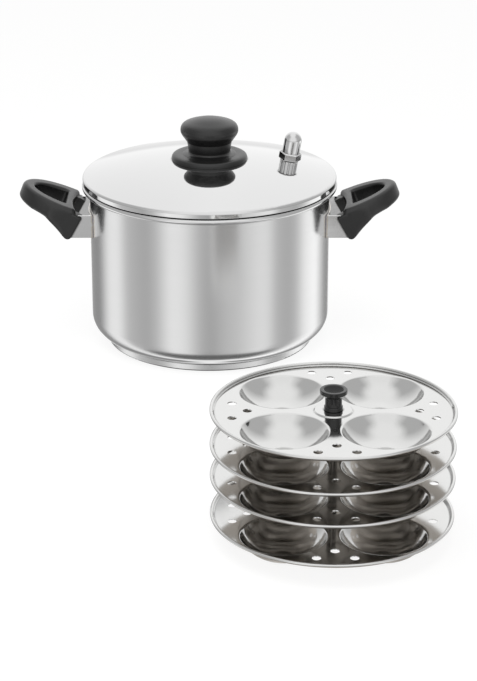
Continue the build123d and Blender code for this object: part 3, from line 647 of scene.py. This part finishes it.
# Moulded silicone: milky and matt, with a faint dusty bloom
silicone = bpy.data.materials.new("moulded_silicone")
silicone.use_nodes = True
tree = silicone.node_tree
shader = tree.nodes["Principled BSDF"]
place = add(tree, "ShaderNodeTexCoord").outputs["Object"]
bloom = add(tree, "ShaderNodeTexNoise", {"Vector": place, "Scale": 1 / bloom_size, "Detail": 2.0})
milky = add(
    tree, "ShaderNodeMix",
    {"Factor": bloom.outputs["Fac"], "A": linear(silicone_dark), "B": linear(silicone_light)},
    data_type="RGBA",
)
shader.inputs["Roughness"].default_value = silicone_roughness
shader.inputs["IOR"].default_value = silicone_ior
tree.links.new(milky.outputs["Result"], shader.inputs["Base Color"])
dress(["vent_gasket"], silicone)
dress(["vent_stem", "vent_nut", "vent_collar"], turned_steel)
dress(["vent_cap"], mirror_steel)
for name in ("vent_stem", "vent_collar", "vent_cap"):
    nodes[name].visible_glossy = False     # the lid shows the tent in their place

# Rack: four pressed steel plates buffed to a mirror, on a steel rod with tubes between them
# to keep them apart, and a nut and a washer under the lowest.
plate_colour = "D3D3D2"
plate_roughness = (0.09, 0.13)
plate_wave_depth = 0.000001
plate_wave_size = 0.06
# the underside's darker, browner colour, painted shade for between the plates
under_shade_colour = "B1AAA2"
under_roughness = 0.38
under_edge = (-0.15, -0.35)      # heights of a unit normal between which the underside begins

# Plate steel buffed on its upper side only: nearly a mirror there, while the underside keeps
# the sheet's dull finish from the mill. Its darker, slightly brown colour there is painted shade,
# which darkens what lies between plates
plate_steel = metal(
    "buffed_stainless_steel", plate_colour, plate_roughness,
    grain=(smudge_size, smudge_size, smudge_size),
    wave_depth=plate_wave_depth, wave_size=plate_wave_size,
)
tree = plate_steel.node_tree
shader = tree.nodes["Principled BSDF"]
normal = add(tree, "ShaderNodeTexCoord").outputs["Normal"]
facing_up = add(tree, "ShaderNodeSeparateXYZ", {"Vector": normal}).outputs["Z"]
under = add(
    tree, "ShaderNodeMapRange",
    {"Value": facing_up, "From Min": under_edge[0], "From Max": under_edge[1]},
)
seam_shaded = shader.inputs["Base Color"].links[0].from_node
# Painted shade: faces turned down get the darker, browner colour, lit and shaded copies of one
# steel
tone = add(
    tree, "ShaderNodeMix",
    {"Factor": under.outputs[0], "A": linear(plate_colour), "B": linear(under_shade_colour)},
    data_type="RGBA",
)
tree.links.new(tone.outputs["Result"], seam_shaded.inputs["B"])
smudged = shader.inputs["Roughness"].links[0].from_socket
rough = add(
    tree, "ShaderNodeMix", {"Factor": under.outputs[0], "A": smudged, "B": under_roughness},
)
tree.links.new(rough.outputs[0], shader.inputs["Roughness"])
dress(["idli_plate_1", "idli_plate_2", "idli_plate_3", "idli_plate_4"], plate_steel)
dress(["rack_rod", "rod_nut", "rod_washer", "spacer_1", "spacer_2", "spacer_3"], turned_steel)

# Rack knob: a moulded nut with a dished head, whose brass insert screws onto the rod. It clamps
# the plates through a loose moulded collar, and both are buffed to a gloss.
gloss_roughness = 0.1
dish_roughness = 0.75
dish_radius = 0.0074
dish_depth = 0.0026
dish_blur = 0.0002

# Buffed phenolic resin: glossy, but for the dish, which the buff doesn't reach: it stays matt
# and dark inside a bright edge
corners = nodes["rack_knob"].bound_box
middle_x, middle_y = [
    (min(corner[i] for corner in corners) + max(corner[i] for corner in corners)) / 2
    for i in (0, 1)
]
knob_top = max(corner[2] for corner in corners)
gloss_phenolic = phenolic.copy()
gloss_phenolic.name = "buffed_phenolic_resin"
tree = gloss_phenolic.node_tree
shader = tree.nodes["Principled BSDF"]
place = add(tree, "ShaderNodeTexCoord").outputs["Object"]
centred = add(
    tree, "ShaderNodeMapping", {"Vector": place, "Location": (-middle_x, -middle_y, -knob_top)},
)
across = add(
    tree, "ShaderNodeVectorMath", {0: centred.outputs[0], 1: (1.0, 1.0, 0.0)},
    operation="MULTIPLY",
)
out = add(tree, "ShaderNodeVectorMath", {0: across.outputs[0]}, operation="LENGTH")
drop = add(tree, "ShaderNodeSeparateXYZ", {"Vector": centred.outputs[0]}).outputs["Z"]
inside = add(
    tree, "ShaderNodeMapRange",
    {"Value": out.outputs["Value"], "From Min": dish_radius + dish_blur,
     "From Max": dish_radius - dish_blur},
)
near_top = add(
    tree, "ShaderNodeMapRange",
    {"Value": drop, "From Min": -dish_depth - dish_blur, "From Max": -dish_depth + dish_blur},
)
dish = add(
    tree, "ShaderNodeMath", {0: inside.outputs[0], 1: near_top.outputs[0]}, operation="MULTIPLY",
)
rough = add(
    tree, "ShaderNodeMix", {"Factor": dish.outputs[0], "A": gloss_roughness, "B": dish_roughness},
)
tree.links.new(rough.outputs[0], shader.inputs["Roughness"])
dress(["rack_collar", "rack_knob"], gloss_phenolic)
dress(["rack_insert"], turned_brass)
